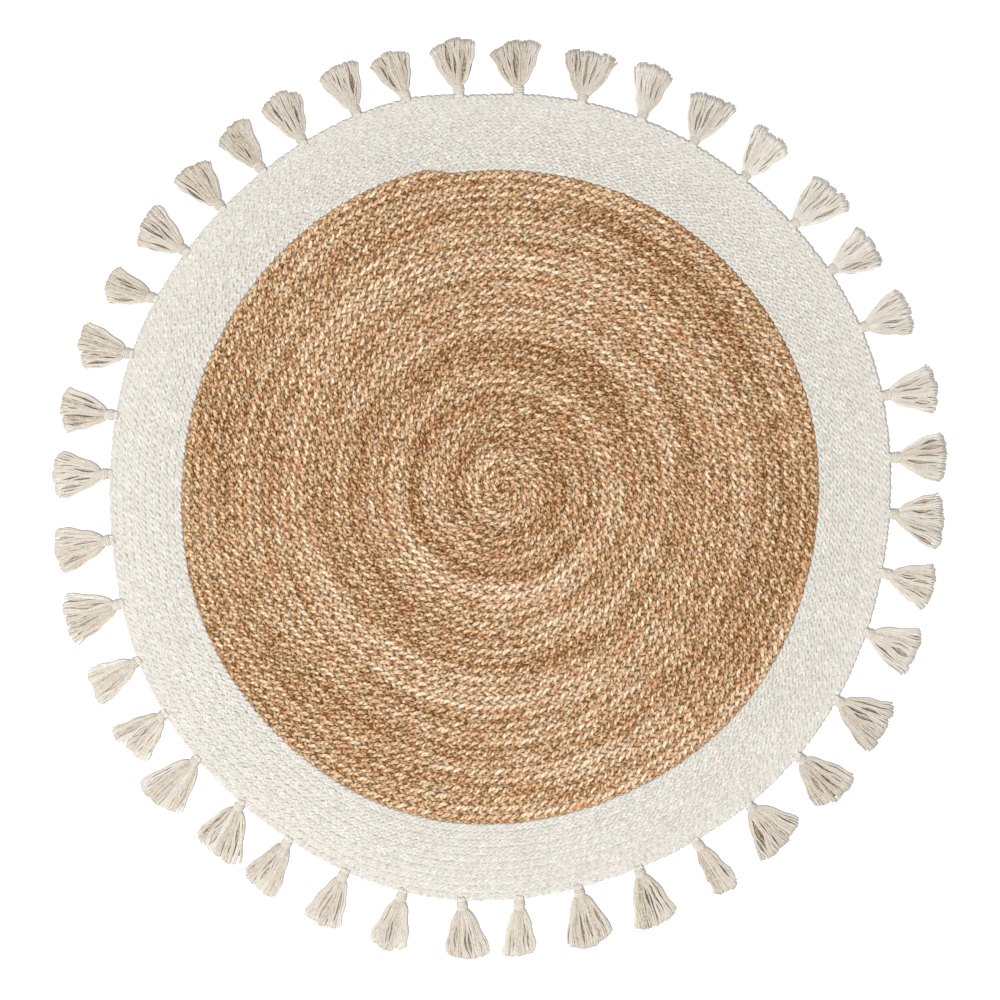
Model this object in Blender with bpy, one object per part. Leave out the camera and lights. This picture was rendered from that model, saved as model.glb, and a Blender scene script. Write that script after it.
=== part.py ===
"""A round rug laid flat: a coil of jute braid, a coil of white cotton braid round it,
and 41 cotton tassels knotted into the rim.

Metres, +Z up. The rug lies on z = 0, with the origin under the middle of the whole
outline, tassels included. Angles are in degrees, counter-clockwise from +X, seen from above.
"""

import math
from collections import namedtuple

import bmesh
import bpy
from mathutils import Vector

# The coil. It winds outwards clockwise, and its rounds are counted from its middle.
STEPS = 40                       # straight stretches to a round
START_ROUND = 0.5                # inside this the braid's start is a plain button
JUTE_ROUNDS = 37
BORDER_ROUNDS = 10
JUTE_END_ANGLE = 103             # where the jute braid stops and the cotton braid goes on
JUTE_RADIUS = 0.4884             # mean edge of the jute
RIM_RADIUS = 0.5995              # mean edge of the border
COIL_CENTRE = Vector((0.0057, 0.0155))
JUTE_CENTRE = Vector((0.0020, 0.0070))
RIM_CENTRE = Vector((0.0012, 0.0064))

# Thickness of the two braids at the crest of a round, and the groove between two rounds.
JUTE_THICKNESS = 0.0082
BORDER_THICKNESS = 0.0076
GROOVE_DEPTH = 0.0024
CLEARANCE = 0.0003               # between neighbouring pieces

# How far the hand-sewn outline strays from round: waves to a turn, and each wave's
# height and the angle of its first crest, at the jute's edge and at the rim.
Wave = namedtuple("Wave", "count jute_height jute_crest rim_height rim_crest")
WAVES = (
    Wave(2, 0.0081, 79, 0.0104, 78),
    Wave(3, 0.0022, 0, 0.0018, 4),
    Wave(4, 0.0008, 40, 0.0011, 49),
    Wave(5, 0.0012, 38, 0.0011, 31),
    Wave(6, 0.0008, 17, 0.0017, 24),
    Wave(7, 0.0005, 7, 0.0012, 8),
    Wave(8, 0.0004, 21, 0.0009, 27),
)

# The tassels: angle of the root on the rim, lean from straight out (+ is counter-clockwise),
# distance from the rim to the tie, reach to the longest tip, and the skirt's widest spread.
Tassel = namedtuple("Tassel", "angle lean neck reach spread")
TASSELS = (
    Tassel(5.4, -5, 0.017, 0.086, 0.078), Tassel(14.5, -6, 0.013, 0.082, 0.065),
    Tassel(24.8, -4, 0.011, 0.078, 0.075), Tassel(34.2, -2, 0.011, 0.074, 0.073),
    Tassel(42.7, -1, 0.009, 0.080, 0.076), Tassel(52.5, 6, 0.010, 0.078, 0.065),
    Tassel(61.3, 3, 0.010, 0.072, 0.073), Tassel(69.5, 8, 0.012, 0.084, 0.057),
    Tassel(78.4, 1, 0.012, 0.080, 0.081), Tassel(87.5, 5, 0.014, 0.083, 0.075),
    Tassel(96.0, 0, 0.015, 0.087, 0.072), Tassel(103.5, 7, 0.013, 0.075, 0.062),
    Tassel(110.8, 0, 0.014, 0.080, 0.064), Tassel(119.4, -3, 0.012, 0.077, 0.062),
    Tassel(126.4, -3, 0.014, 0.077, 0.056), Tassel(134.3, -5, 0.014, 0.079, 0.064),
    Tassel(142.4, 2, 0.012, 0.075, 0.069), Tassel(150.5, 11, 0.013, 0.074, 0.056),
    Tassel(159.2, 10, 0.012, 0.077, 0.070), Tassel(168.4, 4, 0.016, 0.080, 0.070),
    Tassel(177.0, 3, 0.016, 0.086, 0.070), Tassel(186.6, 3, 0.014, 0.084, 0.071),
    Tassel(196.0, -1, 0.013, 0.085, 0.077), Tassel(204.6, 7, 0.012, 0.079, 0.059),
    Tassel(213.1, 5, 0.011, 0.075, 0.071), Tassel(221.0, 5, 0.011, 0.084, 0.077),
    Tassel(229.8, 14, 0.013, 0.086, 0.077), Tassel(238.4, -1, 0.013, 0.083, 0.060),
    Tassel(247.5, -3, 0.015, 0.087, 0.058), Tassel(256.1, -1, 0.016, 0.085, 0.058),
    Tassel(264.4, 12, 0.016, 0.090, 0.066), Tassel(272.6, -3, 0.017, 0.086, 0.051),
    Tassel(281.1, 3, 0.014, 0.089, 0.071), Tassel(290.2, 0, 0.014, 0.088, 0.067),
    Tassel(299.3, 5, 0.016, 0.084, 0.040), Tassel(308.6, 4, 0.012, 0.076, 0.076),
    Tassel(318.6, -1, 0.012, 0.078, 0.074), Tassel(328.5, 0, 0.011, 0.082, 0.082),
    Tassel(339.3, -2, 0.011, 0.078, 0.076), Tassel(348.4, -5, 0.017, 0.079, 0.071),
    Tassel(357.2, -6, 0.014, 0.084, 0.084),
)

# A tassel's knotted head: the width and height of its cross-sections, of which
# the root lies on the rim and the knot lies halfway to the tie.
Section = namedtuple("Section", "width height")
ROOT = Section(0.0205, 0.0070)
KNOT = Section(0.0215, 0.0100)
TIE = Section(0.0170, 0.0080)

# Its skirt: seven locks that part at the tie and lie level on the floor.
LOCKS = 7
LOCK_FILL = 0.82                 # share of its room that a lock takes up, the rest is the gap
LOCK_TOP = 0.62                  # a lock's top width over its bottom width
BEND_AT = 0.45                   # along the lock, where it flares less and runs on
BEND_SPREAD = 0.74               # share of the skirt's spread reached at the bend
BEND_HEIGHT = 0.0052
TIP_HEIGHT = 0.0034
SIDE_SHORTER = 0.11              # how much shorter the outermost locks are
RAGGED = (0.02, 0.0, 0.04, 0.0, 0.05, 0.01, 0.03)

JUTE = {"name": "jute", "colour": (0.52, 0.34, 0.18, 1.0), "roughness": 0.9}
COTTON = {"name": "cotton_braid", "colour": (0.80, 0.77, 0.70, 1.0), "roughness": 0.92}
TASSEL_COTTON = {"name": "tassel_cotton", "colour": (0.74, 0.69, 0.60, 1.0), "roughness": 0.92}


def clear_objects():
    """Start from an empty file."""
    for item in list(bpy.data.objects):
        bpy.data.objects.remove(item, do_unlink=True)


def make_material(name, colour, roughness):
    """A plain matt fibre: its colour and roughness, and no metal."""
    material = bpy.data.materials.new(name)
    material.use_nodes = True
    shader = material.node_tree.nodes["Principled BSDF"]
    shader.inputs["Base Color"].default_value = colour
    shader.inputs["Roughness"].default_value = roughness
    shader.inputs["Metallic"].default_value = 0.0
    return material


def finish_object(name, shape, finish):
    """Turn a bmesh into a named object with its finish."""
    bmesh.ops.recalc_face_normals(shape, faces=shape.faces)
    mesh = bpy.data.meshes.new(name)
    shape.to_mesh(mesh)
    shape.free()
    made = bpy.data.materials.get(finish["name"]) or make_material(**finish)
    mesh.materials.append(made)
    bpy.context.scene.collection.objects.link(bpy.data.objects.new(name, mesh))


def angle_at(step):
    """The angle, in radians, of a step along the coil."""
    return math.radians(JUTE_END_ANGLE) + math.tau * (JUTE_ROUNDS - step / STEPS)


def place(rounds, angle):
    """The point that many rounds out from the coil's middle, in the direction of the angle."""
    mean_jute = JUTE_ROUNDS - 0.5
    jute_share = min(rounds / mean_jute, 1.0)
    rim_share = max((rounds - mean_jute) / BORDER_ROUNDS, 0.0)
    jute_edge = JUTE_RADIUS
    rim_edge = RIM_RADIUS
    for wave in WAVES:
        jute_edge += wave.jute_height * math.cos(wave.count * (angle - math.radians(wave.jute_crest)))
        rim_edge += wave.rim_height * math.cos(wave.count * (angle - math.radians(wave.rim_crest)))
    radius = jute_share * jute_edge + rim_share * (rim_edge - jute_edge)
    centre = COIL_CENTRE.lerp(JUTE_CENTRE, jute_share).lerp(RIM_CENTRE, min(rim_share, 1.0))
    return centre + radius * Vector((math.cos(angle), math.sin(angle)))


def seam(step, out=0.0, along=0.0):
    """A point of the groove between two rounds, moved outwards and clockwise along the coil."""
    angle = angle_at(step)
    outwards = Vector((math.cos(angle), math.sin(angle)))
    clockwise = Vector((math.sin(angle), -math.cos(angle)))
    return place(step / STEPS, angle) + out * outwards + along * clockwise


def crest(step, along=0.0):
    """A point of the rib halfway between the seam at this step and the one a round further out."""
    angle = angle_at(step)
    clockwise = Vector((math.sin(angle), -math.cos(angle)))
    return place(step / STEPS + 0.5, angle) + along * clockwise


def wall_and_floor(shape, loops):
    """Drop a wall from each closed loop of top vertices, and fill the flat underside between them."""
    floor_edges = []
    for loop in loops:
        feet = [shape.verts.new((top.co.x, top.co.y, 0.0)) for top in loop]
        for here in range(len(loop)):
            after = (here + 1) % len(loop)
            shape.faces.new((loop[here], loop[after], feet[after], feet[here]))
            floor_edges.append(shape.edges.get((feet[here], feet[after])))
    bmesh.ops.triangle_fill(shape, use_beauty=False, edges=floor_edges)


def make_jute_centre():
    """The jute coil: one rib to a round on top, flat below, with the braid's cut end at its edge."""
    shape = bmesh.new()
    first = int(START_ROUND * STEPS)
    last = (JUTE_ROUNDS - 1) * STEPS
    low = JUTE_THICKNESS - GROOVE_DEPTH
    seams = {step: shape.verts.new((*seam(step), low)) for step in range(first, last + STEPS + 1)}
    crests = {step: shape.verts.new((*crest(step), JUTE_THICKNESS)) for step in range(first, last + 1)}
    for step in range(first, last):
        shape.faces.new((seams[step], seams[step + 1], crests[step + 1], crests[step]))
        shape.faces.new((crests[step], crests[step + 1], seams[step + 1 + STEPS], seams[step + STEPS]))
    button = shape.verts.new((*COIL_CENTRE, JUTE_THICKNESS))
    ring = [seams[step] for step in range(first, first + STEPS + 1)] + [crests[first]]
    for here in range(len(ring)):
        shape.faces.new((button, ring[here], ring[(here + 1) % len(ring)]))
    edge = [seams[step] for step in range(last, last + STEPS + 1)] + [crests[last]]
    wall_and_floor(shape, [edge])
    finish_object("jute_centre", shape, JUTE)


def border_rim():
    """The vertices of the border's outer edge, clockwise from where the braid's end is tucked in."""
    last = (JUTE_ROUNDS + BORDER_ROUNDS - 1) * STEPS + 1
    return [seam(step) for step in range(last, last + STEPS)]


def make_white_border():
    """The cotton coil: it starts against the jute's cut end and tapers out under a tassel."""
    shape = bmesh.new()
    first = (JUTE_ROUNDS - 1) * STEPS
    corner = first + STEPS
    last = (JUTE_ROUNDS + BORDER_ROUNDS - 1) * STEPS + 1
    low = BORDER_THICKNESS - GROOVE_DEPTH
    seams = {}
    crests = {}
    for step in range(first, last + STEPS):
        out = CLEARANCE if step <= corner else 0.0
        along = CLEARANCE if step in (first, corner) else 0.0
        seams[step] = shape.verts.new((*seam(step, out, along), low))
    for step in range(first, last):
        along = CLEARANCE if step == first else 0.0
        crests[step] = shape.verts.new((*crest(step, along), BORDER_THICKNESS))
    for step in range(first, last - 1):
        shape.faces.new((seams[step], seams[step + 1], crests[step + 1], crests[step]))
        shape.faces.new((crests[step], crests[step + 1], seams[step + 1 + STEPS], seams[step + STEPS]))
    shape.faces.new((seams[last - 1], seams[last], crests[last - 1]))
    shape.faces.new((crests[last - 1], seams[last], seams[last - 1 + STEPS]))
    inner = [seams[step] for step in range(first, corner + 1)] + [crests[first]]
    rim = [seams[step] for step in range(last, last + STEPS)]
    wall_and_floor(shape, [inner, rim])
    finish_object("white_border", shape, COTTON)


def rim_point(rim, angle):
    """A point on the border's faceted edge, by its angle in degrees."""
    turn = (angle_at((JUTE_ROUNDS + BORDER_ROUNDS - 1) * STEPS + 1) - math.radians(angle)) / math.tau
    along = (turn % 1.0) * STEPS
    here = int(along)
    return rim[here % STEPS].lerp(rim[(here + 1) % STEPS], along - here)


def root_frame(rim, angle):
    """Where a tassel's root lies flat against the rim: its middle, straight out, and sideways."""
    half = math.degrees(ROOT.width / 2 / RIM_RADIUS)
    sideways = (rim_point(rim, angle + half) - rim_point(rim, angle - half)).normalized()
    outwards = Vector((sideways.y, -sideways.x))
    middle = rim_point(rim, angle)
    touching = [rim_point(rim, angle + half * share / 4) for share in range(-4, 5)] + rim
    near = [point for point in touching if (point - middle).length < ROOT.width / 2]
    proud = max((point - middle).dot(outwards) for point in near)
    return middle + (proud + CLEARANCE) * outwards, outwards, sideways


def head_ring(shape, centre, sideways, section):
    """A six-sided cross-section of the head, flat on the floor."""
    outline = ((-0.40, 0.0), (0.40, 0.0), (0.5, 0.5), (0.32, 1.0), (-0.32, 1.0), (-0.5, 0.5))
    ring = []
    for across, up in outline:
        point = centre + across * section.width * sideways
        ring.append(shape.verts.new((*point, up * section.height)))
    return ring


def stitch_rings(shape, near, far):
    """Close the band between two rings of vertices, each given with its share of the way round."""
    here = there = 0
    while here < len(near) or there < len(far):
        next_near = near[here + 1][0] if here + 1 < len(near) else 1.0
        next_far = far[there + 1][0] if there + 1 < len(far) else 1.0
        first = near[here % len(near)][1]
        second = far[there % len(far)][1]
        if there == len(far) or (here < len(near) and next_near <= next_far):
            here += 1
            shape.faces.new((first, near[here % len(near)][1], second))
        else:
            there += 1
            shape.faces.new((first, far[there % len(far)][1], second))


def lock_ring(shape, centre, sideways, width, height):
    """A four-sided cross-section of a lock, flat on the floor and narrower on top."""
    corners = ((-0.5, 0.0), (0.5, 0.0), (0.5 * LOCK_TOP, height), (-0.5 * LOCK_TOP, height))
    return [shape.verts.new((*(centre + across * width * sideways), up)) for across, up in corners]


def make_lock(shape, root, tie, outwards, sideways, tassel, number):
    """One lock: it flares from the tie to the bend and runs on to its cut tip."""
    place_across = 2.0 * number / (LOCKS - 1) - 1.0
    length = tassel.reach - tassel.neck
    length *= 1.0 - SIDE_SHORTER * place_across ** 2 - RAGGED[number]
    room = tassel.spread / LOCKS
    reach_across = place_across * (tassel.spread - room) / 2
    bend = tie + BEND_AT * length * outwards + BEND_SPREAD * reach_across * sideways
    tip = tie + length * outwards + reach_across * sideways
    rings = [root]
    rings.append(lock_ring(shape, bend, sideways, BEND_SPREAD * room * LOCK_FILL, BEND_HEIGHT))
    rings.append(lock_ring(shape, tip, sideways, room * LOCK_FILL, TIP_HEIGHT))
    for near, far in zip(rings, rings[1:]):
        for here in range(4):
            after = (here + 1) % 4
            shape.faces.new((near[here], near[after], far[after], far[here]))
    shape.faces.new(rings[-1])


def make_tassel(rim, tassel, number):
    """A knotted head against the rim, with its locks fanned out and lying level on the floor."""
    shape = bmesh.new()
    root, straight_out, straight_across = root_frame(rim, tassel.angle)
    lean = math.radians(tassel.lean)
    radial = (root - RIM_CENTRE).normalized()
    outwards = Vector((radial.x * math.cos(lean) - radial.y * math.sin(lean),
                       radial.x * math.sin(lean) + radial.y * math.cos(lean)))
    sideways = Vector((-outwards.y, outwards.x))
    knot = root + 0.5 * tassel.neck * (straight_out + outwards).normalized()
    tie = root + tassel.neck * outwards
    back = head_ring(shape, root, straight_across, ROOT)
    middle = head_ring(shape, knot, (straight_across + sideways).normalized(), KNOT)
    shape.faces.new(back)
    for here in range(len(back)):
        after = (here + 1) % len(back)
        shape.faces.new((back[here], back[after], middle[after], middle[here]))
    below = []
    above = []
    for line in range(LOCKS + 1):
        across = tie + (line / LOCKS - 0.5) * TIE.width * sideways
        below.append(shape.verts.new((*across, 0.0)))
        above.append(shape.verts.new((*across, TIE.height)))
    shares = (0.0, 0.40, 0.45, 0.50, 0.90, 0.95)
    near = list(zip(shares, middle))
    far = [(0.4 * line / LOCKS, vertex) for line, vertex in enumerate(below)]
    far += [(0.5 + 0.4 * line / LOCKS, vertex) for line, vertex in enumerate(reversed(above))]
    stitch_rings(shape, near, far)
    for lock in range(LOCKS):
        front = [below[lock], below[lock + 1], above[lock + 1], above[lock]]
        make_lock(shape, front, tie, outwards, sideways, tassel, lock)
    finish_object(f"tassel_{number:02d}", shape, TASSEL_COTTON)


clear_objects()
make_jute_centre()
make_white_border()
RIM = border_rim()
for count, row in enumerate(TASSELS, start=1):
    make_tassel(RIM, row, count)
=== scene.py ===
"""The looks of a round rug laid flat: a coil of jute braid, a coil of white cotton braid round it,
and 41 cotton tassels at the rim, seen from straight above on a pale floor.

Metres, +Z up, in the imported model's frame. Angles are counter-clockwise from +X, seen from above.
"""

import math
from collections import namedtuple

import bmesh
import bpy
import numpy as np
from mathutils import Matrix


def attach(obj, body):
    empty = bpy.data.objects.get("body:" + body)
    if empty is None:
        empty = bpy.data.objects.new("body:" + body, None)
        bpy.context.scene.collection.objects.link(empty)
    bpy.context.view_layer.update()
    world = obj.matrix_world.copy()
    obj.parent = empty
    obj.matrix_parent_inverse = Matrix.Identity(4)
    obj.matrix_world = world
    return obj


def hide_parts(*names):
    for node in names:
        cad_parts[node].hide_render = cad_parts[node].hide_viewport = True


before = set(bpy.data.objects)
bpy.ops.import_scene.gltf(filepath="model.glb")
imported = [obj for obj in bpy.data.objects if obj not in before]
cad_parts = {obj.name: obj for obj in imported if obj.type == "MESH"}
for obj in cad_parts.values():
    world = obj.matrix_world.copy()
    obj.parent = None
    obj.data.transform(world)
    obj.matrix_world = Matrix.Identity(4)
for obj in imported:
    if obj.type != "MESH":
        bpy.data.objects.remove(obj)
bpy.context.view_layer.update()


# ---------------------------------------------------------------------------
# The jute coil. One flat braid of three loosely twisted jute strands, about 13 mm wide, is wound
# clockwise outwards from the middle in 37 rounds and sewn edge to edge by hand, so the coil strays
# a little from round. Each round shows two rows of plump, slanting lobes that meet in a V.

JUTE_ROUNDS = 37
BORDER_ROUNDS = 10
JUTE_END = math.radians(103)     # the angle at which the jute stops and the cotton goes on
JUTE_RADIUS = 0.4884             # mean edge of the jute
RIM_RADIUS = 0.5995              # mean edge of the border
COIL_CENTRE = np.array((0.0057, 0.0155))
JUTE_CENTRE = np.array((0.0020, 0.0070))
RIM_CENTRE = np.array((0.0012, 0.0064))

# How far the outline strays from round: waves to a turn, and each wave's height and
# the angle of its first crest, at the jute's edge and at the rim.
Wave = namedtuple("Wave", "count jute_height jute_crest rim_height rim_crest")
WAVES = (
    Wave(2, 0.0081, 79, 0.0104, 78),
    Wave(3, 0.0022, 0, 0.0018, 4),
    Wave(4, 0.0008, 40, 0.0011, 49),
    Wave(5, 0.0012, 38, 0.0011, 31),
    Wave(6, 0.0008, 17, 0.0017, 24),
    Wave(7, 0.0005, 7, 0.0012, 8),
    Wave(8, 0.0004, 21, 0.0009, 27),
)


def coil_angle(rounds):
    """The angle, in radians, at which the coil has wound that many rounds."""
    return JUTE_END + math.tau * (JUTE_ROUNDS - rounds)


def coil_point(rounds, angle):
    """The points that many rounds out from the coil's middle, in the directions of the angles."""
    jute_edge = JUTE_RADIUS
    rim_edge = RIM_RADIUS
    for wave in WAVES:
        jute_edge += wave.jute_height * np.cos(wave.count * (angle - math.radians(wave.jute_crest)))
        rim_edge += wave.rim_height * np.cos(wave.count * (angle - math.radians(wave.rim_crest)))
    mean_jute = JUTE_ROUNDS - 0.5
    jute_share = np.minimum(rounds / mean_jute, 1.0)
    rim_share = np.maximum((rounds - mean_jute) / BORDER_ROUNDS, 0.0)
    radius = jute_share * jute_edge + rim_share * (rim_edge - jute_edge)
    drift = np.minimum(rim_share, 1.0)
    centre = COIL_CENTRE[:, None] + jute_share * (JUTE_CENTRE - COIL_CENTRE)[:, None]
    centre = centre + drift * (RIM_CENTRE[:, None] - centre)
    return (centre + radius * np.array((np.cos(angle), np.sin(angle)))).T


JUTE_TAIL = 0.012                # share of a round in which the jute's end narrows to nothing
OUTER_SWING = 0.82               # the outermost round's outer lobes, pulled in by the seam
SEAM_EASE = 0.1                  # share of a round in which that pull sets in
EDGE_RISE = 0.4                  # how much of a strand's rise it gains again at the braid's edges
THIN_END = 0.15                  # share of its width that a narrowed end keeps
ROUND_END = 1.5                  # strand widths in which a strand's cut end rounds off
BLUNT_END = 0.35                 # share of its thickness that is left at the cut
STEPS_IN_ROUND = 360

# How hand braiding strays: how far each drift goes, and the length in which it turns about.
Drift = namedtuple("Drift", "reach every")
PULL = Drift(0.5, 0.35)          # of all three strands along the braid, in radians of a repeat
SLIP = Drift(0.40, 0.03)         # of one strand along the braid, in the same
SWAY = Drift(0.045, 0.011)       # of a strand sideways, as a share of the braid's width
LIFT = Drift(0.00035, 0.011)     # of a strand up and down
GIRTH = Drift(0.10, 0.013)       # of a strand's thickness, as a share of it
PULL_SEED = 3
STRAND_SEED = 10

# One braid: the rounds it covers, the share of a round in which its end narrows to nothing, the
# length in which its plait repeats, how far a strand swings to each side as a share of the braid's
# width, the height of its middle, how far a strand rises and dips, how much higher it lies on its
# way out than on its way in, how much higher the braid's inner edge lies than its middle, a
# strand's width and height, and the bends that draw one repeat.
Braid = namedtuple("Braid", "first last tail repeat swing middle rise lean tilt width height bends")
JUTE_BRAID = Braid(first=-0.85, last=36.0 + JUTE_TAIL, tail=JUTE_TAIL, repeat=0.0388, swing=0.40,
                   middle=0.0040, rise=0.0015, lean=0.0007, tilt=0.0007,
                   width=0.0067, height=0.0046, bends=8)


def wander(generator, run, drift):
    """A smooth random drift along a strand."""
    knots = np.arange(0.0, run[-1] + 2 * drift.every, drift.every)
    return drift.reach * np.interp(run, knots, generator.uniform(-1.0, 1.0, len(knots)))


def plait(braid, number):
    """The points of one strand of a coiled three-strand braid, and its thickness along them."""
    rounds = np.arange(braid.first, braid.last, 1 / STEPS_IN_ROUND)
    middle = coil_point(np.maximum(rounds + 0.5, 0.0), coil_angle(rounds))
    run = np.concatenate(([0.0], np.cumsum(np.linalg.norm(np.diff(middle, axis=0), axis=1))))
    even = np.arange(0.0, run[-1], braid.repeat / braid.bends)
    rounds = np.interp(even, run, rounds)
    angle = coil_angle(rounds)
    inner = coil_point(np.maximum(rounds, 0.0), angle)
    outer = coil_point(rounds + 1.0, angle)
    pull = wander(np.random.default_rng(PULL_SEED), even, PULL)
    generator = np.random.default_rng(STRAND_SEED + number)
    turn = math.tau * (even / braid.repeat + number / 3) + pull + wander(generator, even, SLIP)
    side = braid.swing * np.sin(turn) + wander(generator, even, SWAY)
    seam = braid.last - 1.0
    outermost = np.interp(rounds, (seam - SEAM_EASE, seam + SEAM_EASE), (1.0, OUTER_SWING))
    side = np.where(side > 0.0, side * outermost, side)
    height = braid.middle - braid.rise * np.sin(2 * turn) + braid.lean * np.cos(turn)
    height = height - braid.tilt * side / braid.swing + EDGE_RISE * braid.rise * np.sin(turn) ** 2
    height = height + wander(generator, even, LIFT)
    narrow = np.clip((braid.last - rounds) / braid.tail, THIN_END, 1.0)
    widen = np.clip((rounds - braid.first) / JUTE_TAIL, THIN_END, 1.0)
    place = inner + (1.0 - widen * (1.0 - narrow * (0.5 + side)))[:, None] * (outer - inner)
    thickness = (1.0 + wander(generator, even, GIRTH)) * np.sqrt(narrow * widen)
    taper = np.minimum(even, even[-1] - even) / (ROUND_END * braid.width)
    return np.column_stack((place, height)), thickness * np.clip(taper, BLUNT_END, 1.0)


# A bundle of like tubes: the points and thickness of each, their width, their height as a share
# of it, the bends that round their section, a tone for each, and whether they are closed loops.
# Tones run from dark to pale between 0 and 1. In the tassels a tone above 1 marks a white yarn.
Bundle = namedtuple("Bundle", "yarns width flatness roundness tones looped", defaults=(False,))


def bundle_mesh(bundle):
    """The tubes of one bundle as a mesh, with the yarn's run and turn as its UV map."""
    curve = bpy.data.curves.new("yarn", "CURVE")
    curve.dimensions = "3D"
    curve.twist_mode = "Z_UP"
    curve.bevel_depth = bundle.width / 2
    curve.bevel_resolution = bundle.roundness
    squash = np.array((1.0, 1.0, 1.0 / bundle.flatness))
    for points, thickness in bundle.yarns:
        line = curve.splines.new("POLY")
        line.points.add(len(points) - 1)
        line.points.foreach_set("co", np.column_stack((points * squash, np.ones(len(points)))).ravel())
        line.points.foreach_set("radius", thickness)
        line.use_cyclic_u = bundle.looped
    drawn = bpy.data.objects.new("yarn", curve)
    bpy.context.scene.collection.objects.link(drawn)
    mesh = bpy.data.meshes.new_from_object(drawn.evaluated_get(bpy.context.evaluated_depsgraph_get()))
    bpy.data.objects.remove(drawn)
    bpy.data.curves.remove(curve)
    mesh.transform(Matrix.Diagonal((1.0, 1.0, bundle.flatness, 1.0)))
    sides = 4 + 2 * bundle.roundness             # corners of a bevelled curve's section
    counts = [sides * len(points) for points, thickness in bundle.yarns]
    tone = mesh.attributes.new("tone", "FLOAT", "POINT")
    tone.data.foreach_set("value", np.repeat(np.asarray(bundle.tones, np.float32), counts))
    return mesh


def make_piece(name, bundles, finish, node):
    """A piece of yarn tubes with closed ends, none of them below the floor, that stands for a node."""
    shape = bmesh.new()
    for bundle in bundles:
        mesh = bundle_mesh(bundle)
        shape.from_mesh(mesh)
        bpy.data.meshes.remove(mesh)
    open_ends = [edge for edge in shape.edges if edge.is_boundary]
    bmesh.ops.holes_fill(shape, edges=open_ends, sides=8)
    for vertex in shape.verts:
        vertex.co.z = max(vertex.co.z, 0.0)
    mesh = bpy.data.meshes.new(name)
    shape.to_mesh(mesh)
    shape.free()
    mesh.materials.append(finish)
    piece = bpy.data.objects.new(name, mesh)
    bpy.context.scene.collection.objects.link(piece)
    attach(piece, "root")
    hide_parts(node)
    return piece


class Dye:
    """One socket of a finish, so that its pattern is written as sums on where the yarn lies."""

    def __init__(self, tree, socket=None):
        self.tree = tree
        self.socket = socket

    def node(self, kind, settings=None, inputs=None, output=0):
        """The output of a new node, given its settings and then the values or links of its sockets."""
        made = self.tree.nodes.new("ShaderNode" + kind)
        for name, value in (settings or {}).items():
            if name == "stops":
                ramp = made.color_ramp.elements
                while len(ramp) < len(value):
                    ramp.new(1.0)
                for element, (position, colour) in zip(ramp, value):
                    element.position = position
                    element.color = (*colour, 1.0)
            else:
                setattr(made, name, value)
        for name, value in (inputs or {}).items():
            if isinstance(value, Dye):
                self.tree.links.new(value.socket, made.inputs[name])
            else:
                made.inputs[name].default_value = value
        return Dye(self.tree, made.outputs[output])

    def maths(self, operation, first, second=0.0):
        return self.node("Math", {"operation": operation}, {0: first, 1: second})

    def __add__(self, other):
        return self.maths("ADD", self, other)

    def __radd__(self, other):
        return self.maths("ADD", other, self)

    def __sub__(self, other):
        return self.maths("SUBTRACT", self, other)

    def __rsub__(self, other):
        return self.maths("SUBTRACT", other, self)

    def __mul__(self, other):
        return self.maths("MULTIPLY", self, other)

    def __rmul__(self, other):
        return self.maths("MULTIPLY", other, self)

    def sine(self):
        return self.maths("SINE", self)

    def ramp(self, low, high, out_low=0.0, out_high=1.0):
        """This value, stretched from one range to another and held at its ends."""
        ends = {"Value": self, "From Min": low, "From Max": high, "To Min": out_low, "To Max": out_high}
        return self.node("MapRange", {"clamp": True}, ends)

    def split(self):
        """The three numbers of a vector."""
        parts = self.node("SeparateXYZ", None, {0: self})
        return [Dye(self.tree, number) for number in parts.socket.node.outputs]

    def spot(self, x, y, z=0.0):
        """A vector of three values."""
        return self.node("CombineXYZ", None, {0: x, 1: y, 2: z})

    def speckle(self, place, detail=2.0, roughness=0.5):
        """Soft noise about 0.5, one grain to each unit of the place."""
        inputs = {"Vector": place, "Scale": 1.0, "Detail": detail, "Roughness": roughness}
        return self.node("TexNoise", None, inputs)

    def blend(self, share, first, second):
        """Two colours mixed by a share."""
        first = first if isinstance(first, Dye) else (*first, 1.0)
        second = second if isinstance(second, Dye) else (*second, 1.0)
        return self.node("Mix", {"data_type": "RGBA"}, {0: share, 6: first, 7: second}, 2)


def new_finish(name):
    """A new material of nodes, with its dye pot: the socket wrapper that draws in it."""
    material = bpy.data.materials.new(name)
    material.use_nodes = True
    return material, Dye(material.node_tree)


def soak(pot, colour, roughness, relief, depth, gloss=0.15):
    """Give the finish its colour, roughness and gloss, and a relief of that depth in metres."""
    shader = pot.tree.nodes["Principled BSDF"]
    bump = pot.node("Bump", None, {"Height": relief, "Distance": depth, "Strength": 1.0})
    pot.tree.links.new(colour.socket, shader.inputs["Base Color"])
    pot.tree.links.new(roughness.socket, shader.inputs["Roughness"])
    pot.tree.links.new(bump.socket, shader.inputs["Normal"])
    shader.inputs["Specular IOR Level"].default_value = gloss


JUTE_LENGTH = 58.0               # metres of one jute strand, about
RING_REACH = 2.0                 # turns metres from the middle into the share used below

# Broad paler and darker rounds, where one hank of jute followed another.
RING_TONES = (
    (0.00, 0.50), (0.13, 0.46), (0.16, 0.28), (0.20, 0.42), (0.23, 0.49), (0.27, 0.38), (0.31, 0.62),
    (0.36, 0.56), (0.43, 0.42), (0.52, 0.50), (0.66, 0.58), (0.83, 0.46), (0.95, 0.52),
)


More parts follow.
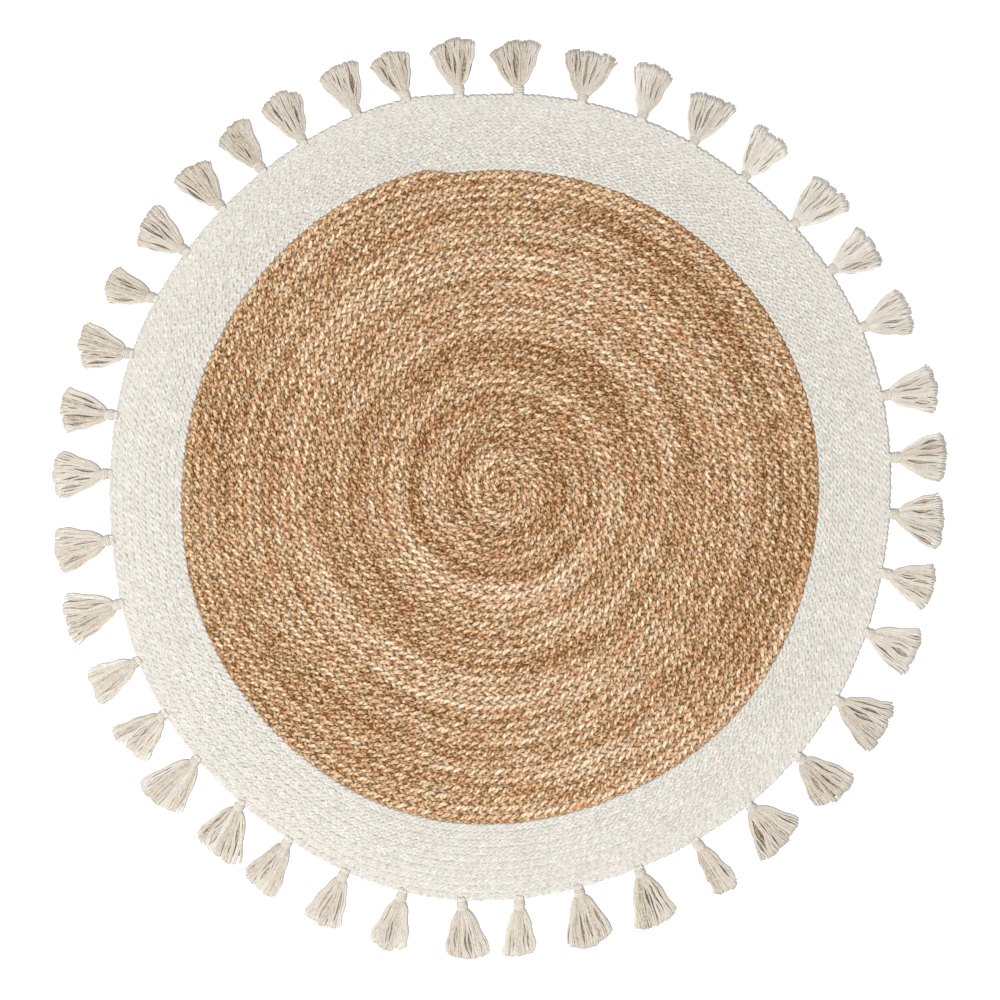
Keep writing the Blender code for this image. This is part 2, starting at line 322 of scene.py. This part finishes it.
def jute_finish(number):
    """Heathered jute: cream, tan and orange-brown fibres along the strand, painted in shade where it
    dips.

    Patterns count their grains to a metre, and to a turn round the strand.
    """
    finish, pot = new_finish(f"jute_{number + 1}")
    run, turn = pot.node("TexCoord", output="UV").split()[:2]
    x, y, z = pot.node("TexCoord", output="Object").split()
    along = run * JUTE_LENGTH
    fibre = pot.speckle(pot.spot(along * 210, turn * 8 + along * 18, number * 31.0), 3.0, 0.65)
    heather = pot.speckle(pot.spot(along * 75, turn * 1.6, number * 17.0), 2.0, 0.6)
    blot = pot.speckle(pot.spot(x * 240, y * 240, number * 9.0), 2.0, 0.6)
    twist = ((turn * 2 + along * 175) * math.tau).sine()
    from_middle = pot.node("VectorMath", {"operation": "DISTANCE"},
                           {0: pot.spot(x, y), 1: (*COIL_CENTRE, 0.0)}, "Value")
    batch = pot.speckle(pot.spot(from_middle * 34, x * 2.2, y * 2.2), 2.0, 0.6)
    grey_stops = [(place, (grey, grey, grey)) for place, grey in RING_TONES]
    rings = pot.node("ValToRGB", {"stops": grey_stops}, {0: from_middle * RING_REACH})
    tone = (heather - 0.5) * 1.6 + (fibre - 0.5) * 1.6 + (batch - 0.5) * 0.8 + (rings - 0.5) * 0.55
    tone = tone + (y * y - x * x) * 0.16 + (blot - 0.5) * 0.9 + twist * 0.16 + 0.535
    colour = pot.node("ValToRGB", {"stops": (
        (0.0, (0.110, 0.040, 0.007)),
        (0.25, (0.330, 0.155, 0.048)),
        (0.50, (0.575, 0.358, 0.192)),
        (0.75, (0.790, 0.580, 0.382)),
        (1.0, (0.905, 0.750, 0.580)),
    )}, {0: tone})
    rust = pot.speckle(pot.spot(from_middle * 55, x * 14, y * 14 + 5.0), 2.0, 0.7)
    tint = pot.speckle(pot.spot(x * 42, y * 42, number * 0.7), 3.0, 0.75)
    lit = tone.ramp(0.10, 0.55)
    for share, dyed in (
        (rust.ramp(0.54, 0.70, 0.0, 0.55), (0.56, 0.25, 0.11)),     # rusty patches along the coil
        (rust.ramp(0.46, 0.30, 0.0, 0.35), (0.72, 0.60, 0.42)),     # and straw ones
        (tint.ramp(0.52, 0.68, 0.0, 0.50), (0.64, 0.30, 0.17)),     # reddish lobes
        (tint.ramp(0.47, 0.30, 0.0, 0.50), (0.52, 0.49, 0.29)),     # and olive ones
    ):
        colour = pot.blend(share * lit, colour, dyed)
    # Painted shade: the strands turn deep brown where they dip low and down their sides, and keep their
    # colour on their tops and their undersides.
    face = z.ramp(0.0040, 0.0074, 0.05, 1.0) + z.ramp(0.0008, 0.0030, 0.95, 0.0)
    colour = pot.blend(face, (0.055, 0.018, 0.002), colour)
    soak(pot, colour, fibre * 0.3 + 0.55, fibre + heather * 0.3 + twist * 0.35, 0.0006, 0.06)
    return finish


def make_strands(name, braid, finish, node):
    """The three strands of a braid, which stand for its node together."""
    strands = []
    for number in range(3):
        strand = Bundle([plait(braid, number)], braid.width, braid.height / braid.width, 1, [0.5])
        strands.append(make_piece(f"{name}_{number + 1}", [strand], finish(number), node))
    return strands


jute_strands = make_strands("jute_strand", JUTE_BRAID, jute_finish, "jute_centre")


# ---------------------------------------------------------------------------
# The white border. A finer flat braid of three cotton strands, each a bundle of soft yarns, is
# sewn on from where the jute stops and goes on in the same coil for ten rounds. Its end is
# tapered and tucked in under a tassel.

COTTON_BRAID = Braid(first=36.0, last=46.025, tail=0.025, repeat=0.0305, swing=0.38,
                     middle=0.0037, rise=0.0012, lean=0.0005, tilt=0.0,
                     width=0.0058, height=0.0040, bends=7)
COTTON_LENGTH = 35.0             # metres of one cotton strand, about
YARNS_IN_STRAND = 7


def cotton_finish(number):
    """Undyed cotton: ivory yarns side by side along the strand, with a painted grey shade where it dips.
    """
    finish, pot = new_finish(f"cotton_{number + 1}")
    run, turn = pot.node("TexCoord", output="UV").split()[:2]
    x, y, z = pot.node("TexCoord", output="Object").split()
    along = run * COTTON_LENGTH
    slant = turn * YARNS_IN_STRAND + along * 24
    ridge = (slant * math.tau).sine() * 0.5 + 0.5
    fluff = pot.speckle(pot.spot(x * 250, y * 250, number * 13.0), 3.0, 0.6)
    heather = pot.speckle(pot.spot(along * 90, turn * 2.0, number * 7.0), 2.0)
    batch = pot.speckle(pot.spot(x * 9, y * 9), 1.0)
    tone = (heather - 0.5) * 1.0 + (fluff - 0.5) * 2.0 + (batch - 0.5) * 0.15 + ridge * 0.12 + 0.50
    colour = pot.node("ValToRGB", {"stops": (
        (0.0, (0.430, 0.390, 0.325)),
        (0.35, (0.530, 0.500, 0.443)),
        (0.70, (0.625, 0.606, 0.558)),
        (1.0, (0.760, 0.748, 0.708)),
    )}, {0: tone})
    tint = pot.speckle(pot.spot(x * 60, y * 60, 3.0), 2.0)
    colour = pot.blend(tint.ramp(0.54, 0.70, 0.0, 0.5), colour, (0.80, 0.71, 0.68))
    colour = pot.blend(tint.ramp(0.46, 0.30, 0.0, 0.5), colour, (0.70, 0.74, 0.62))
    # Painted shade: the strands turn greyer where they dip low and down their sides, and keep their
    # colour on their tops and their undersides.
    face = z.ramp(0.0030, 0.0060, 0.6, 1.0) + z.ramp(0.0006, 0.0024, 0.4, 0.0)
    colour = pot.blend(face, (0.52, 0.49, 0.44), colour)
    soak(pot, colour, fluff * 0.2 + 0.75, ridge * 0.5 + fluff, 0.0004)
    return finish


cotton_strands = make_strands("cotton_strand", COTTON_BRAID, cotton_finish, "white_border")


# ---------------------------------------------------------------------------
# The tassels. Each is a hank of soft cotton yarns drawn through the rim, wrapped round with the
# white yarn of the border to make its neck, and combed out flat on the floor, with its tips cut
# by eye. A few white yarns hold it over the outermost round.

# One tassel: its angle at the rim and its lean from straight out in degrees, the length of its
# neck, how far its tips reach from the rim, and how wide they spread.
Tassel = namedtuple("Tassel", "angle lean neck reach spread")
TASSELS = (
    Tassel(5.4, -5, 0.017, 0.084, 0.081), Tassel(14.5, -6, 0.013, 0.082, 0.077),
    Tassel(24.8, -3, 0.011, 0.080, 0.078), Tassel(34.2, -3, 0.011, 0.079, 0.075),
    Tassel(42.7, -3, 0.009, 0.084, 0.079), Tassel(52.5, 2, 0.010, 0.079, 0.068),
    Tassel(61.3, 2, 0.010, 0.077, 0.078), Tassel(69.5, 6, 0.012, 0.083, 0.061),
    Tassel(78.4, 0, 0.012, 0.079, 0.084), Tassel(87.5, 7, 0.014, 0.080, 0.080),
    Tassel(96.0, 2, 0.015, 0.084, 0.075), Tassel(103.5, 10, 0.013, 0.074, 0.064),
    Tassel(110.8, 3, 0.014, 0.081, 0.068), Tassel(119.4, 0, 0.012, 0.081, 0.069),
    Tassel(126.4, 1, 0.014, 0.082, 0.061), Tassel(134.3, -4, 0.014, 0.081, 0.067),
    Tassel(142.4, 2, 0.012, 0.079, 0.073), Tassel(150.5, 11, 0.013, 0.077, 0.059),
    Tassel(159.2, 10, 0.012, 0.078, 0.074), Tassel(168.4, 5, 0.016, 0.081, 0.074),
    Tassel(177.0, 5, 0.016, 0.085, 0.076), Tassel(186.6, 6, 0.014, 0.085, 0.076),
    Tassel(196.0, 2, 0.013, 0.088, 0.081), Tassel(204.6, 8, 0.012, 0.082, 0.064),
    Tassel(213.1, 8, 0.011, 0.078, 0.075), Tassel(221.0, 5, 0.011, 0.090, 0.080),
    Tassel(229.8, 13, 0.013, 0.088, 0.084), Tassel(238.4, -1, 0.013, 0.088, 0.065),
    Tassel(247.5, -3, 0.015, 0.091, 0.062), Tassel(256.1, -2, 0.016, 0.088, 0.062),
    Tassel(264.4, 13, 0.016, 0.090, 0.072), Tassel(272.6, -3, 0.017, 0.088, 0.053),
    Tassel(281.1, 2, 0.014, 0.092, 0.075), Tassel(290.2, -1, 0.014, 0.092, 0.071),
    Tassel(299.3, 5, 0.016, 0.092, 0.043), Tassel(308.6, 3, 0.012, 0.080, 0.088),
    Tassel(318.6, -2, 0.012, 0.087, 0.079), Tassel(328.5, -2, 0.011, 0.085, 0.087),
    Tassel(339.3, -4, 0.011, 0.081, 0.079), Tassel(348.4, -6, 0.017, 0.082, 0.072),
    Tassel(357.2, -7, 0.014, 0.083, 0.089),
)
UPPER_YARNS = 28
LOWER_YARNS = 14
YARN = 0.0031                    # a skirt yarn's width
LOWER_YARN = 0.0058              # width of the flattened yarns under them
LOWER_FLATNESS = 0.42
LOWER_ROOM = 0.86                # share of the spread that the lower yarns take
LOWER_SHORTER = 0.10             # how much shorter they are
SKIRT_START = 0.002              # how far inside the neck's end the skirt begins
SKIRT_STEPS = np.array((0.0, 0.06, 0.14, 0.25, 0.37, 0.50, 0.63, 0.76, 0.88, 1.0))
SHOULDER = 0.14                  # share of the spread that is reached at once below the tie
SHOULDER_RUN = 0.06              # share of the length that this takes
BULGE = 0.25                     # how far the skirt's sides bow out

# Heights of the yarns' middles, and their thickness, at shares of their length.
UPPER_HEIGHT = ((0.0, 0.1, 0.45, 1.0), (0.0055, 0.0072, 0.0046, 0.0031))
LOWER_HEIGHT = ((0.0, 0.14, 0.5, 1.0), (0.0030, 0.0026, 0.0014, 0.0012))
YARN_GIRTH = ((0.0, 0.12, 0.3, 0.9, 1.0), (0.55, 0.8, 1.0, 1.15, 1.05))
GIRTH_RANGE = (0.88, 1.12)       # of single yarns
SIDE_DROP = 0.35                 # how much lower the skirt's sides lie than its middle at the tie
YARN_LIFT = 0.0007               # how far single yarns lie above or below their neighbours
LIFT_SETS_IN = 6                 # and how soon below the tie: in one part in six of their length
YARN_STRAY = 0.02                # how far they stray from even spacing, in shares of half the skirt

# The partings that show the yarns below, painted in shade: how many, how far out to the sides they
# may be, how wide they open and where along the skirt, how wide and how long each is drawn out,
# and how late they close towards the tips.
PARTINGS = 4
PARTING_SIDE = 0.85
PARTING_OPENS = (0.05, 0.17)
PARTING_PLACE = (0.30, 0.72)
PARTING_WIDTH = 0.15
PARTING_LENGTH = 0.22
PARTING_CLOSES = 6

# The cut of the tips, in shares of the skirt's length: shorter at the sides and at the corners, in
# three locks cut round between two notches, at a slight tilt, and ragged.
SIDE_SHORTER = 0.11
CORNER_SHORTER = 0.045
NOTCH_PLACE = (0.15, 0.55)
LOCK_LENGTHS = (-0.035, 0.065)
LOCK_CUT = 0.04
CUT_TILT = 0.06
RAGGED = (-0.016, 0.006)

# The yarns lie in wavy locks of three, and each waves a little by itself.
YARNS_IN_LOCK = 3
LOCK_WAVE = 0.0011
YARN_WAVE = 0.0005
WAVE_TURNS = (7.0, 14.0)         # radians in a yarn's length

# The neck: loops of white yarn round the hank, like a small knot.
WRAP = 0.0026                    # a neck wrap's width
WRAP_STEP = 0.0022
WRAP_CORNERS = 12
WRAP_WAVER = 0.0005              # how far a wrap strays along the neck on its way round
WRAP_LEAD = 0.3                  # radians by which each wrap's waver is ahead of the one before
NECK_START = 0.001               # how far it goes into the rim
NECK_MORE = 0.002                # how much longer than its reach the row of wraps is, to count them
NECK_WIDTH = 0.0128
NECK_HEIGHT = 0.0086
TIE_WIDTH = 0.0150
KNOT_BULGE = 0.30                # how much wider it is half way
KNOT_RISE = 0.10                 # and how much higher
NECK_SQUARENESS = 0.75

# The yarns that hold a tassel over the outermost round.
HOLDERS = 6
HOLDER_STEPS = 6
HOLDER_START = 0.0015            # outside the rim, under the first wraps
HOLDER_REACH = (0.0055, 0.0075)
HOLDER_SIDE = 0.0056             # how far the outer two are from the middle
HOLDER_GATHER = 0.0008           # and how much closer at their far ends
HOLDER_HEIGHT = ((0.0, 0.3, 0.75, 1.0), (0.0070, 0.0082, 0.0074, 0.0050))


def rim_point(angle, tuck=0.0):
    """The point of the rim at an angle, or that share of a round inside it."""
    full = 1.0 - COTTON_BRAID.tail
    turn = ((coil_angle(COTTON_BRAID.last) - angle) / math.tau) % 1.0
    rounds = COTTON_BRAID.last - tuck + np.interp(turn, (0.0, full, 1.0), (0.0, full, 0.0))
    return coil_point(np.array([rounds]), np.array([angle]))[0]


def tassel_frame(tassel):
    """Where a tassel leaves the rim, and its directions outwards and sideways."""
    root = rim_point(math.radians(tassel.angle))
    radial = root - RIM_CENTRE
    heading = math.atan2(radial[1], radial[0]) + math.radians(tassel.lean)
    outwards = np.array((math.cos(heading), math.sin(heading)))
    return root, outwards, np.array((-outwards[1], outwards[0]))


def laid(spot, out, side, height):
    """Points of a tassel in the rug's frame, from their distances out, sideways and up."""
    root, outwards, sideways = spot
    flat = root + np.asarray(out)[:, None] * outwards + np.asarray(side)[:, None] * sideways
    return np.column_stack((flat, height))


def flare(share):
    """How far a tassel has spread at a share of its length, shoulders first."""
    bowed = share * (1.0 + BULGE - BULGE * share)
    return SHOULDER * (1.0 - np.exp(-share / SHOULDER_RUN)) + (1.0 - SHOULDER) * bowed


def cut_tips(seed):
    """One tassel's cut: where its two notches are, and how long its three locks are."""
    shears = np.random.default_rng(seed)
    near, far = NOTCH_PLACE
    notches = np.array((shears.uniform(-far, -near), shears.uniform(near, far)))
    return notches, shears.uniform(*LOCK_LENGTHS, 3)


def cut_length(across, notches, lengths):
    """How far a yarn's tip is past the tassel's reach, as a share of it: three locks, cut round."""
    ends = (-1.0, *notches, 1.0)
    lock = int(np.clip(np.searchsorted(notches, across), 0, 2))
    place = 2.0 * (across - ends[lock]) / (ends[lock + 1] - ends[lock]) - 1.0
    return lengths[lock] - LOCK_CUT * min(abs(place), 1.0) ** 4


def skirt_yarns(spot, tassel, count, width, low, cut, generator):
    """One layer of a tassel's combed-out yarns, the upper ones parted in a few places."""
    yarns = []
    length = tassel.reach - tassel.neck
    room = (tassel.spread - width) / 2 * (LOWER_ROOM if low else 1.0)
    tie_room = (TIE_WIDTH - 0.5 * width) / 2
    partings = generator.uniform(-PARTING_SIDE, PARTING_SIDE, 0 if low else PARTINGS)
    openings = generator.uniform(*PARTING_OPENS, len(partings))
    opened_at = generator.uniform(*PARTING_PLACE, len(partings))
    cut_tilt = generator.uniform(-CUT_TILT, CUT_TILT)
    steps = SKIRT_STEPS
    waves = generator.uniform(0.0, math.tau, count)
    speeds = generator.uniform(*WAVE_TURNS, count)
    for number in range(count):
        across = 2.0 * (number + 0.5) / count - 1.0 + generator.uniform(-YARN_STRAY, YARN_STRAY)
        place = np.full(len(steps), across)
        for parting, opening, at in zip(partings, openings, opened_at):
            away = np.exp(-abs(across - parting) / PARTING_WIDTH)
            pushed = away * np.exp(-((steps - at) / PARTING_LENGTH) ** 2)
            place = place + opening * pushed * (1 - steps ** PARTING_CLOSES) * np.sign(across - parting)
        ragged = generator.uniform(*RAGGED) + cut_tilt * across - (LOWER_SHORTER if low else 0.0)
        ragged = ragged + cut_length(across, *cut)
        reach = length * (1.0 - SIDE_SHORTER * across ** 2 - CORNER_SHORTER * across ** 8 + ragged)
        half = tie_room + (room - tie_room) * flare(steps)
        lock = number - number % YARNS_IN_LOCK
        wobble = LOCK_WAVE * np.sin(steps * speeds[lock] + waves[lock])
        wobble = (wobble + YARN_WAVE * np.sin(steps * speeds[number] + waves[number])) * np.sqrt(steps)
        side = np.clip(place, -1.0, 1.0) * half + wobble
        out = tassel.neck - SKIRT_START + steps * (reach + SKIRT_START)
        if low:
            height = np.interp(steps, *LOWER_HEIGHT)
        else:
            lift = generator.uniform(-YARN_LIFT, YARN_LIFT)
            crown = 1.0 - SIDE_DROP * across ** 2
            height = np.interp(steps, *UPPER_HEIGHT)
            height = height * (crown * (1 - steps) + steps)
            height = height + lift * np.minimum(steps * LIFT_SETS_IN, 1.0)
        thickness = np.interp(steps, *YARN_GIRTH) * generator.uniform(*GIRTH_RANGE)
        yarns.append((laid(spot, out, side, height), thickness))
    return yarns


def neck_wraps(spot, tassel):
    """Closed loops of white yarn side by side, from the rim to the tie."""
    loops = []
    count = round((tassel.neck + NECK_MORE) / WRAP_STEP)
    turn = np.arange(WRAP_CORNERS) / WRAP_CORNERS * math.tau
    for number in range(count):
        share = number / (count - 1)
        bulge = math.sin(share * math.pi)
        width = (NECK_WIDTH + (TIE_WIDTH - NECK_WIDTH) * share) * (1.0 + KNOT_BULGE * bulge) - WRAP
        height = NECK_HEIGHT * (1.0 + KNOT_RISE * bulge) - WRAP
        waver = WRAP_WAVER * np.sin(turn + WRAP_LEAD * number)
        out = -NECK_START + share * (tassel.neck + NECK_START) + waver
        side = width / 2 * np.sign(np.cos(turn)) * np.abs(np.cos(turn)) ** NECK_SQUARENESS
        up = WRAP / 2 + height / 2 * (1 + np.sin(turn))
        loops.append((laid(spot, out, side, up), np.ones(WRAP_CORNERS)))
    return loops


def holding_yarns(spot, generator):
    """White yarns side by side, from under the neck's first wraps up over the outermost lobes."""
    yarns = []
    steps = np.linspace(0.0, 1.0, HOLDER_STEPS)
    for number in range(HOLDERS):
        across = 2.0 * number / (HOLDERS - 1) - 1.0
        out = HOLDER_START - steps * generator.uniform(*HOLDER_REACH)
        side = across * (HOLDER_SIDE - HOLDER_GATHER * steps)
        height = np.interp(steps, *HOLDER_HEIGHT)
        yarns.append((laid(spot, out, side, height), np.ones(HOLDER_STEPS)))
    return yarns


def tassel_finish():
    """Soft two-ply cotton, creamier than the border, and each yarn of its own tone.

    A tone above 1 is a neck or holding yarn: the border's white yarn, smoother and a little beige.
    """
    finish, pot = new_finish("tassel_cotton")
    run, turn = pot.node("TexCoord", output="UV").split()[:2]
    x, y, z = pot.node("TexCoord", output="Object").split()
    tone = pot.node("Attribute", {"attribute_name": "tone"}, output="Fac")
    ply = ((turn * 2 + run * 26) * math.tau).sine() * 0.5 + 0.5
    fluff = pot.speckle(pot.spot(x * 900, y * 900, z * 900), 3.0, 0.6)
    blot = pot.speckle(pot.spot(x * 380, y * 380, tone * 9), 2.0)
    streak = pot.speckle(pot.spot(run * 12, turn * 3, tone * 60), 2.0)
    tip = run.ramp(0.80, 1.0, 0.0, 0.12)
    white = tone.ramp(0.95, 1.05)
    # Paler where a yarn lies on the floor: the painted shade of the dark lower yarns is lifted off their
    # undersides.
    under = z.ramp(0.0003, 0.0011, 0.38, 0.0)
    shade = tone + (streak - 0.5) * 0.50 + (blot - 0.5) * 0.60 + ply * 0.05
    shade = shade + tip - white * 0.45 + under
    colour = pot.node("ValToRGB", {"stops": (
        (0.0, (0.150, 0.100, 0.062)),
        (0.25, (0.330, 0.265, 0.195)),
        (0.50, (0.530, 0.474, 0.408)),
        (0.80, (0.665, 0.628, 0.568)),
        (1.0, (0.800, 0.785, 0.730)),
    )}, {0: shade})
    twist = ply * white.ramp(0.0, 1.0, 0.6, 0.1)
    tint = pot.speckle(pot.spot(x * 130, y * 130, 3.0), 2.0)
    colour = pot.blend(tint.ramp(0.53, 0.68, 0.0, 0.5), colour, (0.66, 0.51, 0.44))
    colour = pot.blend(tint.ramp(0.47, 0.32, 0.0, 0.5), colour, (0.57, 0.59, 0.43))
    soak(pot, colour, fluff * 0.15 + 0.80, twist + fluff * 0.7, 0.0003)
    return finish


TASSEL_SEED = 100
CUT_SEED = 200
TONE_PLACES = 8                  # that the tone runs through across a tassel
LOCK_TONES = (0.44, 0.68)        # at those places
TONE_SPREAD = 0.09               # of single yarns about them
SIDE_TONE = 0.10                 # how much paler the outermost yarns are
# Painted light and shade by a tassel's angle round the rug: paler tassels round that angle and across
# from it, darker ones between.
PAINTED_LIGHT_SIDE = 30                  # degrees: the palest tassels hang there, and across the rug
PALER_THERE = 0.06
PALER_IN_LINE = 0.08             # on that side and the one across from it
DARKER_ALL = 0.04
# Painted shade and light on the lower yarns: dark tones for the shade under the upper ones, and paler
# ones on the two sides where light falls down the partings.
LOWER_PAINTED_LIGHT = 0.14               # of the lower yarns on those two sides
LOWER_SHADE_TONES = (0.0, 0.28)
WRAP_TONES = (1.14, 1.24)
HOLDER_TONES = (1.22, 1.32)


def upper_tones(count, turned, generator):
    """Tones of a tassel's upper yarns, from side to side, with painted light and shade by the tassel's
    angle.
    """
    tones = generator.uniform(*LOCK_TONES, TONE_PLACES)
    tones = np.interp(np.linspace(0, TONE_PLACES - 1, count), np.arange(TONE_PLACES), tones)
    tones = tones + generator.uniform(-TONE_SPREAD, TONE_SPREAD, count)
    tones = tones + SIDE_TONE * np.linspace(-1.0, 1.0, count) ** 4
    return tones + PALER_THERE * math.cos(turned) + PALER_IN_LINE * math.cos(2 * turned) - DARKER_ALL


tassel_cotton = tassel_finish()
for number, tassel in enumerate(TASSELS, start=1):
    generator = np.random.default_rng(TASSEL_SEED + number)
    spot = tassel_frame(tassel)
    turned = math.radians(tassel.angle - PAINTED_LIGHT_SIDE)
    cut = cut_tips(CUT_SEED + number)
    upper = skirt_yarns(spot, tassel, UPPER_YARNS, YARN, False, cut, generator)
    lower = skirt_yarns(spot, tassel, LOWER_YARNS, LOWER_YARN, True, cut, generator)
    wraps = neck_wraps(spot, tassel)
    holders = holding_yarns(spot, generator)
    tones = upper_tones(len(upper), turned, generator)
    # Painted shade: the lower yarns' dark tones, paler where light falls down the partings.
    lower_tones = generator.uniform(*LOWER_SHADE_TONES, len(lower)) + LOWER_PAINTED_LIGHT * (1.0 + math.cos(2 * turned))
    bundles = [
        Bundle(upper, YARN, 1.0, 1, tones),
        Bundle(lower, LOWER_YARN, LOWER_FLATNESS, 0, lower_tones),
        Bundle(wraps, WRAP, 1.0, 0, generator.uniform(*WRAP_TONES, len(wraps)), True),
        Bundle(holders, WRAP, 1.0, 0, generator.uniform(*HOLDER_TONES, len(holders))),
    ]
    make_piece(f"tassel_yarns_{number:02d}", bundles, tassel_cotton,
                                    f"tassel_{number:02d}")


# ---------------------------------------------------------------------------
# The ground of the rug. Inside the braids the strands press flat against each other and the
# stitches, so no light comes through between them. A thin sheet at that height closes the seams,
# painted in the colours of fibre deep in shade: dark brown among the jute and greyer cream in the border.

JUTE_GROUND = 0.0044             # height of its top among the jute
COTTON_GROUND = 0.0056           # and in the border
GROUND_THICKNESS = 0.0010
GROUND_TUCK = 0.40               # of a round, how far it stays inside the rim
GROUND_SHORT = 0.12              # of a round, how far its brown middle stays inside the jute's edge
GROUND_CORNERS = 360
RING_WIDTH = 0.2                 # of the ring on the disc of radius 1 that it is cut from
FACE_ORDER = (1.0, 7.0, 49.0)    # weights of x, y and z that give each face a number of its own


def seam_shade_finish(name, dark, pale):
    """Painted shade for the seams: fibre in deep shade, in two tones, with a matted grain."""
    finish, pot = new_finish(name)
    x, y, z = pot.node("TexCoord", output="Object").split()
    mat = pot.speckle(pot.spot(x * 700, y * 700, z * 700), 4.0, 0.7)
    colour = pot.blend(mat, dark, pale)
    soak(pot, colour, mat * 0.2 + 0.75, mat, 0.0006)
    return finish


def make_ground():
    """A disc cut into a middle and a ring, which are drawn out to the jute's edge and the rim.

    Solidify adds the walls in an order that changes from run to run, so the faces are sorted.
    """
    shape = bmesh.new()
    bmesh.ops.create_circle(shape, cap_ends=True, segments=GROUND_CORNERS, radius=1.0)
    ring = bmesh.ops.inset_individual(shape, faces=shape.faces[:], thickness=RING_WIDTH)["faces"]
    for vertex in shape.verts:
        turn = (-math.atan2(vertex.co.y, vertex.co.x) / math.tau) % 1.0
        angle = JUTE_END - math.tau * turn
        if vertex.co.length > 1.0 - RING_WIDTH / 2:
            vertex.co = (*rim_point(angle, GROUND_TUCK), COTTON_GROUND)
        else:
            end = np.interp(turn, (0.0, JUTE_TAIL, 1.0), (1.0, 0.0, 1.0))
            rounds = np.array([JUTE_ROUNDS - 1.0 + end - GROUND_SHORT])
            vertex.co = (*coil_point(rounds, np.array([angle]))[0], JUTE_GROUND)
    for face in ring:
        face.material_index = 1
    bmesh.ops.solidify(shape, geom=shape.faces[:], thickness=GROUND_THICKNESS)
    bmesh.ops.recalc_face_normals(shape, faces=shape.faces)
    shape.faces.sort(key=lambda face: face.calc_center_median().dot(FACE_ORDER))
    mesh = bpy.data.meshes.new("rug_ground")
    shape.to_mesh(mesh)
    shape.free()
    # Painted shade: these are the colours of jute and of cotton deep in shade.
    mesh.materials.append(seam_shade_finish("jute_seam_shade", (0.09, 0.034, 0.006), (0.26, 0.130, 0.042)))
    mesh.materials.append(seam_shade_finish("cotton_seam_shade", (0.50, 0.47, 0.41), (0.72, 0.69, 0.62)))
    ground = bpy.data.objects.new("rug_ground", mesh)
    bpy.context.scene.collection.objects.link(ground)
    return ground


ground = make_ground()
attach(ground, "root")


# ---------------------------------------------------------------------------
# The floor, the studio light and the camera. The rug lies on a plain white floor, under soft
# light from all round and a little more of it from the lower left, with the camera straight above.

FRAME_WIDTH = 1.5056             # of floor across the picture
FRAME_DROP = 0.0015              # how far the picture's middle is below the origin
LENS = 135.0
SENSOR = 36.0
FLOOR_SIZE = 12.0                # from its middle to each side
FLOOR_DROP = 0.0002              # how far it is below the rug, so that the two don't share a plane
FLOOR_GLOW = 0.13                # of its own, for the light that the studio's white walls throw back
SOFTBOX_POWER = 590.0
SOFTBOX_SIZE = 0.9
SOFTBOX_PLACE = (-2.0, -2.0, 6.9)
ROOM_LIGHT = 0.42


def make_floor():
    """A plain white sheet of floor, wide enough for every view."""
    shape = bmesh.new()
    bmesh.ops.create_grid(shape, x_segments=1, y_segments=1, size=FLOOR_SIZE)
    mesh = bpy.data.meshes.new("floor")
    shape.to_mesh(mesh)
    shape.free()
    finish, pot = new_finish("white_floor")
    x, y = pot.node("TexCoord", output="Object").split()[:2]
    grain = pot.speckle(pot.spot(x * 60, y * 60), 2.0)
    colour = pot.blend(grain, (0.93, 0.93, 0.93), (0.96, 0.96, 0.96))
    soak(pot, colour, grain * 0.05 + 0.75, grain, 0.00001)
    shader = finish.node_tree.nodes["Principled BSDF"]
    shader.inputs["Emission Color"].default_value = (1.0, 1.0, 1.0, 1.0)
    shader.inputs["Emission Strength"].default_value = FLOOR_GLOW
    mesh.materials.append(finish)
    floor = bpy.data.objects.new("floor", mesh)
    bpy.context.scene.collection.objects.link(floor)
    floor.location.z = -FLOOR_DROP
    return floor


def make_light(name, power, size, spot):
    """A square softbox aimed at the rug's middle."""
    lamp = bpy.data.lights.new(name, "AREA")
    lamp.energy = power
    lamp.size = size
    light = bpy.data.objects.new(name, lamp)
    light.location = spot
    light.rotation_mode = "QUATERNION"
    light.rotation_quaternion = light.location.to_track_quat("Z", "Y")
    bpy.context.scene.collection.objects.link(light)


make_floor()
make_light("key_softbox", SOFTBOX_POWER, SOFTBOX_SIZE, SOFTBOX_PLACE)

world = bpy.data.worlds.new("studio")
world.use_nodes = True
world.node_tree.nodes["Background"].inputs["Color"].default_value = (1.0, 1.0, 1.0, 1.0)
world.node_tree.nodes["Background"].inputs["Strength"].default_value = ROOM_LIGHT
bpy.context.scene.world = world
bpy.context.scene.view_settings.view_transform = "Standard"

lens = bpy.data.cameras.new("camera")
lens.lens = LENS
lens.sensor_width = SENSOR
lens.clip_end = 100.0
camera = bpy.data.objects.new("camera", lens)
camera.location = (0.0, -FRAME_DROP, FRAME_WIDTH * LENS / SENSOR)
bpy.context.scene.collection.objects.link(camera)
bpy.context.scene.camera = camera
